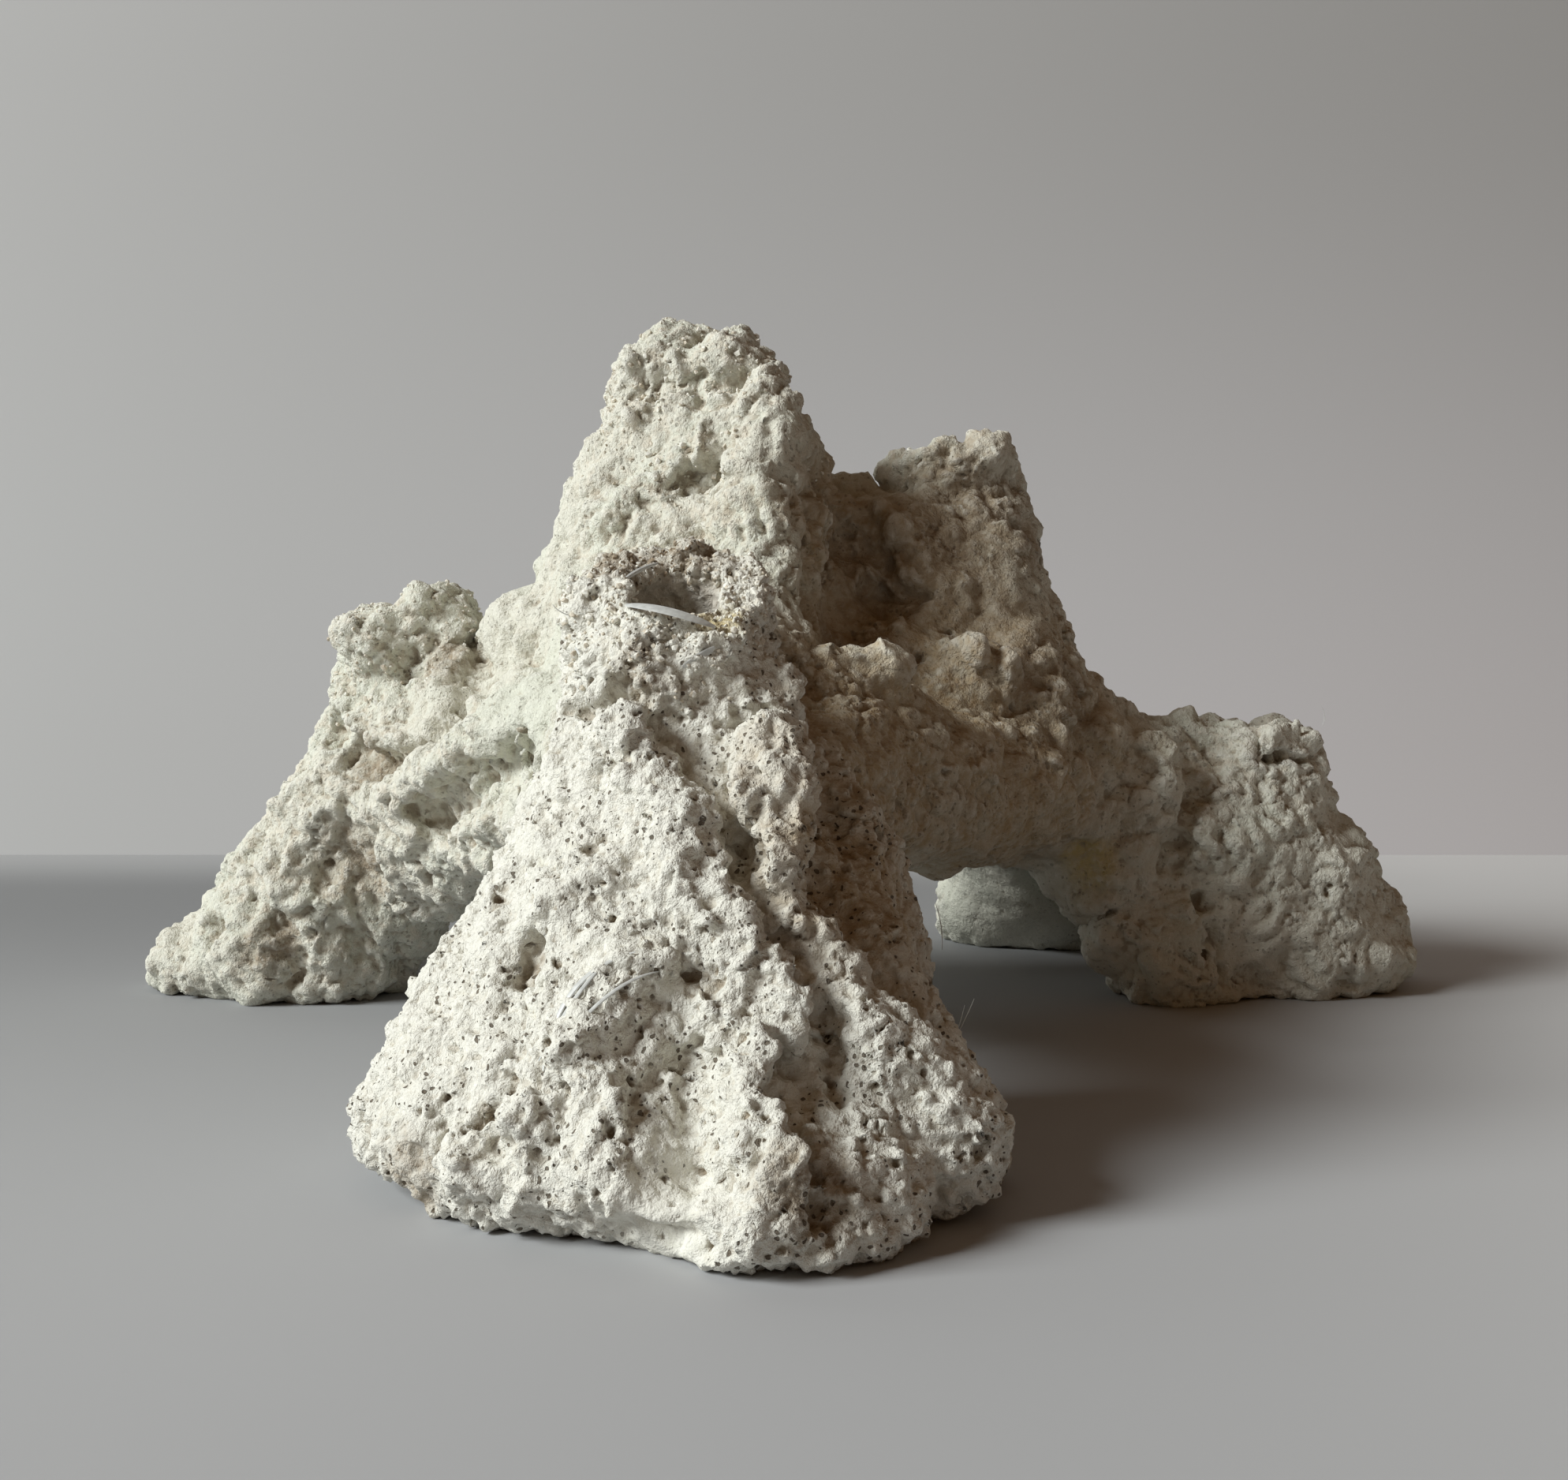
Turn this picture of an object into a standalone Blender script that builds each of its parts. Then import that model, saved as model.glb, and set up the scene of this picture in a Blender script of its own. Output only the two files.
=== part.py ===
"""Aragonite dry rock: one cast reef rock with a tall tower, four splayed legs and a plug socket on each leg.

Lengths in the tables are millimetres. The finished mesh is in metres, +Z up, resting on its feet at Z = 0,
with the origin under the middle of its bounding box. The front leg points towards -Y and the right leg towards +X.
"""

import math

import bmesh
import bpy
from mathutils import Matrix, Vector, noise
from mathutils.geometry import intersect_point_line

MM = 0.001

# Driving dimensions
PLUG_BORE_RADIUS = 4.6
PLUG_BORE_DEPTH = 9.0
SOCKET_WALL = 5.6
SOCKET_RADIUS = PLUG_BORE_RADIUS + SOCKET_WALL
SOCKET_SIDES = 32
BORE_SIDES = 24
BORE_HEADROOM = 12.0
VOXEL = 1.5
ELLIPSOID_FINENESS = 3
SMOOTHING_PASSES = 6
ROCK_TRIANGLES = 8600
FOOT_SINK = 1.2
GROUND_SLAB = (300.0, 300.0, 80.0)
CEMENT_COLOUR = (0.70, 0.67, 0.60, 1)
CEMENT_ROUGHNESS = 0.95

# Each limb is a chain of ellipsoids, (centre), (radii), from the crown down to the foot
LIMBS = {
    "tower": [
        ((-12, 25, 84), (12.4, 12.5, 11)),
        ((-12, 25, 75), (16.6, 15, 10)),
        ((-13, 24, 66), (18, 17, 11)),
        ((-14, 23, 50), (23, 21, 19)),
    ],
    "tower_cap": [
        ((-16, 25, 85), (9.4, 11, 11.4)),
        ((-8.5, 25, 84), (9.7, 11, 11.4)),
    ],
    "tower_shoulder": [
        ((-3, 24, 77), (9.5, 10, 7)),
        ((-3, 22, 66), (11, 12, 10)),
    ],
    "tower_face": [
        ((-3.5, 18, 82), (6.5, 10, 7)),
        ((-3.5, 12, 70), (7, 10, 8)),
        ((-4, 7, 58), (8, 10, 8)),
    ],
    "tower_skirt": [
        ((-22, 24, 62), (11, 12, 8.5)),
        ((-28, 25, 48), (13, 13, 12)),
    ],
    "saddle": [
        ((4, 34, 66), (11, 11, 9.5)),
        ((15, 38, 62), (10, 11, 10)),
    ],
    "valley_left": [
        ((5, 26, 64), (9, 9, 9)),
        ((8, 24, 54), (10, 9, 9)),
        ((10, 16, 42), (11, 11, 11)),
    ],
    "valley_middle": [
        ((17, 28, 62), (12, 10, 11)),
        ((19, 26, 52), (12, 11, 10)),
        ((20, 18, 40), (12, 12, 11)),
    ],
    "valley_right": [
        ((27, 29, 56), (9.5, 11, 13)),
        ((30, 27, 46), (11, 12, 12)),
    ],
    "front_ridge": [
        ((-12, 12, 50), (19, 17, 15)),
        ((-10, -14, 43), (14, 17, 14)),
        ((-11, -38, 40), (10.5, 11, 12)),
    ],
    "front_neck": [
        ((-11, -44, 50), (10.2, 10.2, 6)),
        ((-13, -47, 39), (11.5, 11, 9)),
        ((-11, -50, 31), (17.5, 14, 11)),
    ],
    "front_leg": [
        ((-11, -50, 31), (17.5, 14, 11)),
        ((-10, -54, 19), (23.5, 19, 11)),
        ((-10.5, -57, 6.5), (30.5, 26, 10)),
    ],
    "front_toe": [
        ((-3, -69, 10), (12, 12, 8)),
        ((-1, -76, 4), (13, 13, 7)),
    ],
    "front_flap": [
        ((6, -58, 10), (12, 13, 8)),
        ((11, -60, 4), (10, 11, 7)),
    ],
    "front_flank": [
        ((-4, -36, 37), (8, 12, 11)),
        ((2, -42, 26), (11, 14, 12)),
        ((5, -48, 12), (11, 15, 10)),
    ],
    "right_web": [
        ((-2, -24, 34), (12, 13, 13)),
        ((6, -9, 36), (12, 13, 14)),
        ((18, 7, 32), (13, 13, 10)),
        ((30, 22, 33), (14, 14, 11)),
    ],
    "left_web": [
        ((-16, -24, 36), (10, 12, 13)),
        ((-25, -4, 36), (12, 13, 13)),
        ((-38, 18, 33), (13, 13, 14)),
        ((-49, 28, 25), (11, 12, 12)),
        ((-56, 34, 13), (8, 9, 9)),
    ],
    "right_leg": [
        ((10, 26, 43), (17, 17, 15)),
        ((32, 30, 38), (16, 16, 14)),
        ((50, 36, 28), (15, 15, 13)),
        ((69, 41, 18), (18, 17, 13)),
        ((73, 42, 6), (21.5, 17.5, 10)),
    ],
    "right_shoulder": [
        ((68, 41, 30), (12, 12, 7)),
        ((68, 43, 22), (16, 16, 12)),
    ],
    "right_heel": [
        ((57, 30, 12), (10, 9, 8)),
        ((55, 30, 4), (9, 9, 5)),
    ],
    "back_tower": [
        ((25, 38, 68), (12.5, 12, 8)),
        ((26.5, 36, 58), (12, 14, 12)),
        ((27, 32, 48), (14, 16, 13)),
    ],
    "back_leg": [
        ((28, 48, 46), (17, 17, 16)),
        ((38, 62, 30), (15, 15, 14)),
        ((46, 76, 14), (16, 15, 12)),
        ((49, 82, 5), (19, 15, 9)),
    ],
    "back_toes": [
        ((37, 79, 6), (11, 11, 9)),
        ((58, 84, 5), (9, 9, 8)),
    ],
    "back_shoulder": [
        ((22, 50, 52), (14, 11, 11)),
        ((36, 58, 38), (13, 13, 11)),
    ],
    "left_leg": [
        ((-24, 26, 45), (17, 17, 14)),
        ((-44, 30, 37), (15, 15, 13)),
        ((-56, 34, 36), (12, 13, 12)),
        ((-66, 38, 20), (14, 15, 12)),
        ((-72, 39, 6), (18.5, 18, 10)),
    ],
    "left_shoulder": [
        ((-53, 36, 46), (12, 12, 8)),
        ((-54, 38, 36), (14, 15, 12)),
    ],
    "left_toe": [
        ((-70, 38, 12), (12, 12, 8)),
        ((-85, 38, 4), (9, 10, 8)),
    ],
}

# Each socket is (rim centre), (lean towards +X and towards -Y in degrees), outer length
SOCKETS = {
    "front_socket": ((-11, -46, 57), (1, 26), 18),
    "left_socket": ((-54.5, 33, 58), (-15, 6), 20),
    "right_socket": ((69, 40, 40), (4, 2), 14),
    "back_socket": ((24, 38, 81), (-10, 6), 18),
}

# Folds follow a line over the surface: (points), (half width, height); a negative height is a gully
FOLDS = {
    "front_crest": (
        ((-2, -48, 46), (-1, -54, 40), (-1, -61, 33), (-0.5, -66, 26), (5, -69, 19), (11, -70, 14), (18, -70, 8)),
        (6.5, 3.2),
    ),
    "flank_hollow": (((5, -44, 43), (6, -53, 36), (7, -61, 29), (11, -67, 21)), (6.5, -3)),
    "valley_gully": (((6, 20, 75), (9, 18, 67), (14, 17, 58)), (6, -3.2)),
    "crest_gully": (
        ((-4, -62, 36), (-4, -66, 30), (-1, -67, 26), (2, -70, 21), (4, -75, 16), (6, -80, 12)),
        (4.5, -2.6),
    ),
    "middle_ridge": (
        ((-14, -57, 41), (-8, -66, 31), (-4, -70, 25), (0, -73, 19), (-3, -80, 14), (-1, -84, 10)),
        (5, 2.2),
    ),
    "middle_hollow": (((1, -77, 16), (2, -83, 11)), (4, -2.4)),
    "neck_bulge": (((-2, -54, 42), (-2, -60, 37)), (5, 2)),
    "neck_groove": (((-14, -53, 46), (-9, -57, 42), (-5, -60, 38)), (3.5, -1.8)),
    "toe_hollow": (((4, -87, 6), (8, -83, 5)), (3.5, -1.8)),
    "flap_bump": (((14, -72, 8), (15, -72, 4)), (5, 2)),
    "lump_chain": (((-17, -75, 16), (-16, -79, 11), (-13, -81, 7)), (4, 2.2)),
    "lump_row": (((-22, -77, 11), (-21, -79, 7), (-27, -76, 7)), (3.5, 1.8)),
    "flap_edge": (((-20, -75, 16), (-14, -71, 22), (-9, -71, 24)), (3.5, 1.5)),
    "slick_hollow": (((-8, -77, 16), (-8, -83, 9)), (6, -1.8)),
    "long_pit": (((-23, -65, 25), (-23, -68, 22)), (3, -2)),
    "left_gully": (((-31, -15, 38), (-39, -4, 34), (-47, 9, 29)), (4, -3.2)),
    "left_ridge": (((-32, -10, 42), (-40, -2, 38), (-49, 9, 34), (-59, 22, 28)), (5, 2)),
    "socket_edge": (
        ((-64, 27, 40), (-57, 20, 35), (-50, 14, 36), (-44, 9, 41), (-42, 16, 47), (-43, 28, 54)),
        (4, -2.2),
    ),
    "cap_groove": (((-23, 17, 87), (-14, 14, 87), (-7, 14, 86), (1, 19, 86), (3, 26, 86)), (3.5, -2.2)),
    "tower_groove": (((-12, 9, 73), (-5, 10, 74), (2, 13, 74), (6, 18, 75)), (3.5, -2.2)),
    "tower_waist": (((-30, 17, 65), (-18, 7, 64), (-9, 7, 65), (-1, 9, 64)), (4, -1.8)),
    "tower_lumps": (((-8, 8, 69), (-1, 10, 69)), (4, 1.8)),
    "ridge_lumps": (((13, 13, 52), (13, -8, 48)), (5, 2)),
    "web_lumps": (((25, 12, 50), (36, 17, 46)), (5, 2.4)),
    "right_lumps": (((52, 24, 36), (53, 23, 32)), (5, 2.2)),
    "stub_knob": (((57, 36, 38), (58, 36, 38)), (4.5, 3.6)),
    "stub_groove": (((58, 27, 37), (56, 24, 28), (53, 23, 21)), (4, -2.2)),
    "leg_groove": (((58, 24, 17), (60, 22, 11), (61, 23, 4)), (3, -1.8)),
    "back_gully": (((-6, 42, 70), (2, 48, 56), (10, 56, 44)), (5, -2.4)),
    "heel_ridge": (((38, 76, 38), (46, 88, 22), (50, 94, 10)), (5, 2)),
}

# Waviness of the cast surface: how wide the waves are, how far they move the surface,
# and where their pattern starts
SWELL = (24.0, 2.2, (0, 0, 0))
LUMPS = (10.0, 3.0, (7, 3, 1))
KNOBS = (5.5, 1.4, (2, 9, 4))
CREASE_LEVEL = 0.2


def start_scene():
    """Empties the scene and makes the collections for the rock and its cutters."""
    for leftover in list(bpy.data.objects):
        bpy.data.objects.remove(leftover)
    made = {}
    for name in ("aragonite_dry_rock", "cutters"):
        made[name] = bpy.data.collections.new(name)
        bpy.context.scene.collection.children.link(made[name])
    return made


def add_ellipsoid(bm, centre, radii):
    placed = Matrix.LocRotScale(Vector(centre), None, Vector(radii))
    bmesh.ops.create_icosphere(bm, subdivisions=ELLIPSOID_FINENESS, radius=1, matrix=placed)


def append_mesh(target, source):
    """Copies everything in the bmesh source into the bmesh target."""
    carrier = bpy.data.meshes.new("carrier")
    source.to_mesh(carrier)
    target.from_mesh(carrier)
    bpy.data.meshes.remove(carrier)


def add_limb(bm, chain):
    """A limb is the hull round each pair of neighbouring ellipsoids of its chain."""
    for upper, lower in zip(chain, chain[1:]):
        link = bmesh.new()
        add_ellipsoid(link, *upper)
        add_ellipsoid(link, *lower)
        bmesh.ops.delete(link, geom=link.edges[:], context="EDGES_FACES")
        hull = bmesh.ops.convex_hull(link, input=link.verts)
        bmesh.ops.delete(link, geom=hull["geom_interior"], context="VERTS")
        append_mesh(bm, link)
        link.free()


def socket_frame(rim, lean):
    """Matrix whose origin is the rim's centre and whose +Z points out of the socket's mouth."""
    lean_x, lean_y = (math.radians(angle) for angle in lean)
    return Matrix.Translation(rim) @ Matrix.Rotation(lean_x, 4, "Y") @ Matrix.Rotation(lean_y, 4, "X")


def add_cylinder(bm, frame, radius, top, bottom, sides):
    """A cylinder along the frame's Z from bottom to top."""
    placed = frame @ Matrix.Translation((0, 0, (top + bottom) / 2))
    bmesh.ops.create_cone(
        bm,
        cap_ends=True,
        segments=sides,
        radius1=radius,
        radius2=radius,
        depth=top - bottom,
        matrix=placed,
    )


def mesh_object(name, bm, collection, scale=1.0):
    bmesh.ops.scale(bm, vec=(scale,) * 3, verts=bm.verts)
    mesh = bpy.data.meshes.new(name)
    bm.to_mesh(mesh)
    bm.free()
    made = bpy.data.objects.new(name, mesh)
    collection.objects.link(made)
    return made


def settle(rock):
    """Replaces the object's mesh by what its modifiers make of it."""
    graph = bpy.context.evaluated_depsgraph_get()
    made = bpy.data.meshes.new_from_object(rock.evaluated_get(graph))
    old = rock.data
    rock.modifiers.clear()
    rock.data = made
    bpy.data.meshes.remove(old)


def cast_body(collection):
    """Limbs and sockets fused into one smooth mass, in metres."""
    bm = bmesh.new()
    for chain in LIMBS.values():
        add_limb(bm, chain)
    for rim, lean, length in SOCKETS.values():
        add_cylinder(bm, socket_frame(rim, lean), SOCKET_RADIUS, 0, -length, SOCKET_SIDES)
    rock = mesh_object("dry_rock", bm, collection, MM)
    fuse = rock.modifiers.new("fuse", "REMESH")
    fuse.mode = "VOXEL"
    fuse.voxel_size = VOXEL * MM
    soften = rock.modifiers.new("soften", "SMOOTH")
    soften.iterations = SMOOTHING_PASSES
    settle(rock)
    return rock


def fold_height(point):
    """Sum of the ridges and gullies at a point, fading out over each fold's half width."""
    height = 0
    for line, (half_width, rise) in FOLDS.values():
        nearest = half_width
        for start, end in zip(line, line[1:]):
            foot, share = intersect_point_line(point, start, end)
            if share < 0:
                foot = Vector(start)
            elif share > 1:
                foot = Vector(end)
            nearest = min(nearest, (point - foot).length)
        height += rise * (1 - (nearest / half_width) ** 2) ** 2
    return height


def waves(point, size, depth, start):
    return noise.noise(point / size + Vector(start)) * depth


def creased(point, size, depth, start):
    """Rounded lumps that meet in sharp creases."""
    return CREASE_LEVEL * depth - abs(waves(point, size, depth, start))


def relief(point):
    """How far the surface stands out at a point, all in millimetres."""
    return waves(point, *SWELL) + creased(point, *LUMPS) + creased(point, *KNOBS) + fold_height(point)


def roughen(rock):
    """Moves each vertex along its normal to give the cast its folds, swells, lumps and knobs."""
    moved = [vertex.co + vertex.normal * relief(vertex.co / MM) * MM for vertex in rock.data.vertices]
    for vertex, place in zip(rock.data.vertices, moved):
        vertex.co = place


def thin_out(rock):
    """Collapses the mesh to the triangle budget."""
    rock.data.calc_loop_triangles()
    collapse = rock.modifiers.new("collapse", "DECIMATE")
    collapse.ratio = ROCK_TRIANGLES / len(rock.data.loop_triangles)
    collapse.use_collapse_triangulate = True
    settle(rock)


def cut(rock, cutter):
    cutter.hide_render = True
    cutter.display_type = "WIRE"
    carve = rock.modifiers.new(cutter.name, "BOOLEAN")
    carve.operation = "DIFFERENCE"
    carve.solver = "EXACT"
    carve.object = cutter


def cut_features(rock, cutters):
    """Plug bores in the sockets and the flat that the feet rest on."""
    for name, (rim, lean, _) in SOCKETS.items():
        bm = bmesh.new()
        add_cylinder(bm, socket_frame(rim, lean), PLUG_BORE_RADIUS, BORE_HEADROOM, -PLUG_BORE_DEPTH, BORE_SIDES)
        cut(rock, mesh_object(name + "_bore", bm, cutters, MM))
    bm = bmesh.new()
    depth = GROUND_SLAB[2]
    slab = Matrix.LocRotScale(Vector((0, 0, FOOT_SINK - depth / 2)), None, Vector(GROUND_SLAB))
    bmesh.ops.create_cube(bm, size=1, matrix=slab)
    cut(rock, mesh_object("ground_cut", bm, cutters, MM))
    settle(rock)


def centre_on_base(rock):
    """Puts the origin under the middle of the bounding box, at the feet."""
    corners = [Vector(corner) for corner in rock.bound_box]
    low = Vector(map(min, zip(*corners)))
    high = Vector(map(max, zip(*corners)))
    rock.location = (-(low.x + high.x) / 2, -(low.y + high.y) / 2, -low.z)


def cement_material():
    finish = bpy.data.materials.new("aragonite_cement")
    finish.use_nodes = True
    shader = finish.node_tree.nodes["Principled BSDF"]
    shader.inputs["Base Color"].default_value = CEMENT_COLOUR
    shader.inputs["Roughness"].default_value = CEMENT_ROUGHNESS
    shader.inputs["Metallic"].default_value = 0
    return finish


def main():
    collections = start_scene()
    rock = cast_body(collections["aragonite_dry_rock"])
    roughen(rock)
    thin_out(rock)
    cut_features(rock, collections["cutters"])
    centre_on_base(rock)
    rock.data.materials.append(cement_material())


main()
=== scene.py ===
"""Dresses the aragonite dry rock: cast surface, sandy crust, loose fibres, floor, light and camera."""

import itertools
import math

import bmesh
import bpy
import numpy as np
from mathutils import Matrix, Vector


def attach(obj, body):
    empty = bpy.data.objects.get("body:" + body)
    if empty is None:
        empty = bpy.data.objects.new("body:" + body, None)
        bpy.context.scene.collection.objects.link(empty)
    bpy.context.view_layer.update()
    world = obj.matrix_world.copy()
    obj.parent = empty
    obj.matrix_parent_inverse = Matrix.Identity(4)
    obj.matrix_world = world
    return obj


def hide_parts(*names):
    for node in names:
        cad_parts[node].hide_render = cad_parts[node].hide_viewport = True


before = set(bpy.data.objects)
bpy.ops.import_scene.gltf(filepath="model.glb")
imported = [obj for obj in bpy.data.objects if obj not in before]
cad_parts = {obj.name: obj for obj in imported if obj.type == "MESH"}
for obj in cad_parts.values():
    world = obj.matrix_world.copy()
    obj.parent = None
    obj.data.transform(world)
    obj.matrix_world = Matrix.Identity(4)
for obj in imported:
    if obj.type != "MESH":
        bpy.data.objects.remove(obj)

bl_info = {
    "name": "Aragonite dry rock",
    "version": (1, 0, 0),
    "blender": (4, 5, 0),
    "location": "3D View > Sidebar > Dry rock",
    "description": "Builds the weathered surface, crust, fibres and studio of an aragonite dry rock",
    "category": "Object",
}

ROCK_NODE = "dry_rock"
BODY = "root"
MM = 0.001

# Where things are, in millimetres

# Ridges and gullies of the cast: (points along it), half width, height; a negative height is a gully
FOLDS = [
    (((-31, -19, 37), (-39, -8, 33), (-47, 5, 28)), 4.2, -1.8),
    (((-32, -15, 41), (-40, -6, 37), (-49, 5, 33), (-59, 18, 27)), 4.2, 0.4),
    (((-64, 23, 39), (-57, 16, 34), (-50, 10, 35), (-44, 5, 40), (-42, 12, 46), (-43, 24, 53)), 3.0, -1.6),
    (((-23, 13, 85.5), (-14, 10, 85.5), (-7, 10, 85), (1, 15, 84.5), (3, 22, 84.5)), 2.3, -2.4),
    (((-24, 13, 89), (-14, 9, 89), (-7, 9, 88.5), (1, 14, 88)), 2.6, 1.0),
    (((-12, 5, 72), (-5, 6, 73), (2, 9, 73), (6, 14, 74)), 2.4, -1.7),
    (((-1, -52, 44), (1, -57, 39), (1, -64, 34), (1, -67, 29), (1, -70, 25)), 3.0, 1.3),
    (((3, -69, 24), (6, -72, 19), (10, -72, 16), (11, -74, 13), (13, -76, 11), (18, -73, 7)), 2.8, 1.3),
    (((-4, -67, 33), (-4, -70, 30), (-1, -71, 26), (1, -72, 22)), 2.8, -1.5),
    (((2, -74, 20), (3, -77, 17), (5, -80, 14), (6, -84, 11)), 2.4, -1.8),
    (((-15, -60, 42), (-11, -65, 36), (-8, -70, 30), (-4, -73, 24), (-1, -75, 21), (1, -77, 18)), 3.0, 1.5),
    (((-2, -79, 16), (-3, -84, 13), (-2, -87, 10), (0, -88, 9)), 2.2, 1.3),
    (((0, -79, 15), (0, -84, 13), (2, -88, 9)), 2.4, -1.4),
    (((-2, -57, 40), (-2, -64, 36)), 3.0, 1.2),
    (((-12, -60, 44), (-9, -61, 41), (-5, -64, 37)), 2.0, -1.4),
    (((-17, -79, 15), (-15, -81, 13), (-16, -83, 10), (-16, -84, 8), (-13, -85, 6)), 2.2, 1.2),
    (((-9, -80, 15), (-8, -84, 11), (-8, -87, 8)), 3.2, -1.2),
    (((-14, -75, 22), (-11, -74, 23), (-8, -74, 22), (-7, -77, 20)), 1.6, 0.9),
    (((-13, -83, 3), (-10, -86, 3), (-7, -89, 3)), 2.2, -1.1),
    (((-23, -69, 24), (-23, -72, 21)), 1.2, -1.4),
    (((5, -79, 15), (7, -83, 12), (7, -85, 10)), 1.6, 0.9),
    (((-2.5, -57, 43), (-2, -65, 37), (-2, -69, 32), (-1.5, -71, 27)), 3.4, 1.0),
    (((3.5, -52, 43), (3.5, -58, 37), (4, -64, 31), (5, -68, 25)), 5, -2.0),
    (((3, -28, 50), (4, -44, 45)), 8, -2.6),
    (((7, -17, 50), (12, -14, 47)), 5, 1.6),
    (((15, 17, 61), (17, 15, 59), (19, 13, 58)), 1.8, -1.5),
    (((-20, -54, 44), (-18, -57, 44), (-16, -58, 45), (-14.5, -59.5, 46.5)), 2.0, -2.0),
    (((-8, -60, 45), (-5, -60, 44.5), (-2, -57.5, 44.5)), 2.0, -2.0),
    (((7, 17, 69), (9, 16, 64), (11, 15, 58)), 2.2, -1.4),
    (((4.2, 8, 73), (3.8, 4.5, 68), (3.6, 1, 62), (3.5, -3, 56)), 4, -2.0),
    (((58, 22, 33), (56, 19, 26), (53, 19, 20)), 2.8, -1.7),
    (((67, 24, 34), (73, 27, 34), (78, 29, 35)), 1.5, -2.2),
    (((58, 20, 16), (60, 17, 11), (62, 19, 3)), 1.5, -1.5),
    (((59, 17, 9), (59, 17, 3)), 1.2, -1.1),
]

# Rounded lumps of the cast: (centre), radius, height; a negative height is a soft hollow
LUMPS = [
    ((14, -76, 8), 3.0, 1.2),
    ((-22, -81, 10), 2.4, 1.3),
    ((-21, -82, 7), 2.0, 1.2),
    ((-20, -53, 44), 1.7, 1.0),
    ((-7, 4, 69), 3.6, 1.6),
    ((-2, 6, 69), 3.6, 1.6),
    ((1, 2, 58), 4.5, 2.2),
    ((-10, 7, 75), 3.0, 1.3),
    ((-4, 9, 77), 3.6, 1.4),
    ((-9, 9, 82), 3.0, 1.3),
    ((10, 29, 73.5), 5, 2.2),
    ((12.5, 30.5, 73), 3.2, 1.8),
    ((-44, 24, 51.5), 7, 2.6),
    ((-40, 19, 53), 8, 3.0),
    ((-35, 12, 54), 7, 2.6),
    ((15.5, 16, 66), 3.4, 2.0),
    ((16.5, 16, 60), 4.0, 2.2),
    ((10.5, 16.5, 60), 5.0, 1.8),
    ((15.5, 15, 55), 3.4, 1.6),
    ((13.0, 17, 70), 3.0, 1.6),
    ((30, 21, 66), 2.4, 1.3),
    ((25, 15, 58), 3.2, 1.4),
    ((21, 8, 50), 3.4, 1.5),
    ((25, 5, 50), 3.4, 1.4),
    ((30, 6, 48), 3.6, 1.5),
    ((36, 11, 48), 3.6, 1.6),
    ((40, 16, 46), 3.2, 1.3),
    ((20, 3, 45), 2.8, 1.1),
    ((36, 10, 42), 4.8, 2.0),
    ((21, -10, 41), 4.5, -1.4),
    ((35, 4, 35), 4.0, 1.6),
    ((34, 1, 32), 3.0, 1.2),
    ((43, 15, 37), 4.0, 1.8),
    ((22, 28, 79), 3.2, 0.9),
    ((30, 26, 77), 3.2, 0.9),
    ((12, -14, 48), 3.4, 1.2),
    ((9, -17, 45), 3.0, 1.2),
    ((15, 9, 53), 2.4, 0.9),
    ((53, 19, 31), 3.6, 1.6),
    ((52, 20, 35), 3.6, 1.6),
    ((57, 32, 39), 3.6, 1.6),
    ((44, 24, 14), 11, 4.0),
    ((-6, 19, 94), 6, 1.0),
    ((-12, 20, 95), 4, 0.8),
    ((-14.8, -52, 56), 2.8, 1.8),
    ((-17, -47, 59), 2.6, 1.2),
    ((-10, -44, 61), 3.2, 1.2),
    ((-21, 14, 80), 5, 1.0),
    ((-24, 18, 92), 6, -1.4),
    ((-56, 16, 20), 3.8, -1.8),
    ((-65, 18, 20), 4.2, -1.8),
    ((-59, 18, 27), 3.6, -1.6),
    ((-74, 19, 15), 3.6, -1.8),
    ((-70, 17, 11), 4.0, -2.0),
    ((-68, 20, 6), 3.8, -1.8),
    ((-80, 22, 10), 3.4, -1.6),
    ((-60, 20, 9), 3.2, -1.6),
    ((-45, 4, 25), 2.6, -1.4),
    ((-52, 19, 47), 4.0, -1.0),
    ((79, 23, 4), 3.2, -1.5),
    ((-1, 10, 75), 3.0, -1.5),
    ((-4, 7, 74), 2.4, -1.3),
]

# Pits and hollows of the cast: (centre), radius, depth
PITS = [
    ((-7, -76, 21), 2.0, 1.3),
    ((14, -76, 4), 1.3, 1.3),
    ((-26, -79, 10), 1.6, 1.6),
    ((4, -90, 5), 2.6, 1.3),
    ((-17, -68, 31), 1.0, 1.1),
    ((-14, -69, 30), 1.0, 1.1),
    ((-15, -83, 10), 0.9, 1.0),
    ((-14, -84, 10), 0.8, 1.0),
    ((-16, -83, 11), 0.8, 1.0),
    ((-14, -85, 8), 0.8, 1.0),
    ((-13, -81, 14), 0.9, 1.0),
    ((-29, -67, 19), 0.9, 1.0),
    ((-20, -70, 26), 0.9, 1.0),
    ((-19, -72, 24), 0.8, 1.0),
    ((-18, -55, 46), 1.2, 1.2),
    ((15, 9, 53), 0.9, 0.9),
    ((3, 5, 66), 1.5, 1.6),
    ((10, -53, 31), 1.0, 1.3),
    ((2, -70, 31), 1.2, 1.0),
    ((-16, -59, 45), 1.0, 1.1),
    ((-3, -59, 43), 1.0, 1.0),
    ((-8, -58, 48), 1.0, 1.0),
    ((-19, -54, 44), 0.9, 1.0),
]

# Where the cast keeps a rough sandy crust: (centre), radius
CRUSTS = [
    ((-11, -50, 56), 13),
    ((-55, 29, 52), 17),
    ((-12, 18, 88), 20),
    ((-8, 8, 66), 14),
    ((24, 34, 78), 13),
    ((-44, -2, 31), 12),
    ((-63, 19, 22), 24),
    ((69, 36, 36), 14),
    ((2, -89, 6.4), 6),
]

# Where the cement paste lies smooth: (centre), radius
SLICKS = [
    ((20, 12, 28), 9),
    ((-10, -86, 3), 5),
    ((35, 60, 8), 14),
]

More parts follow.
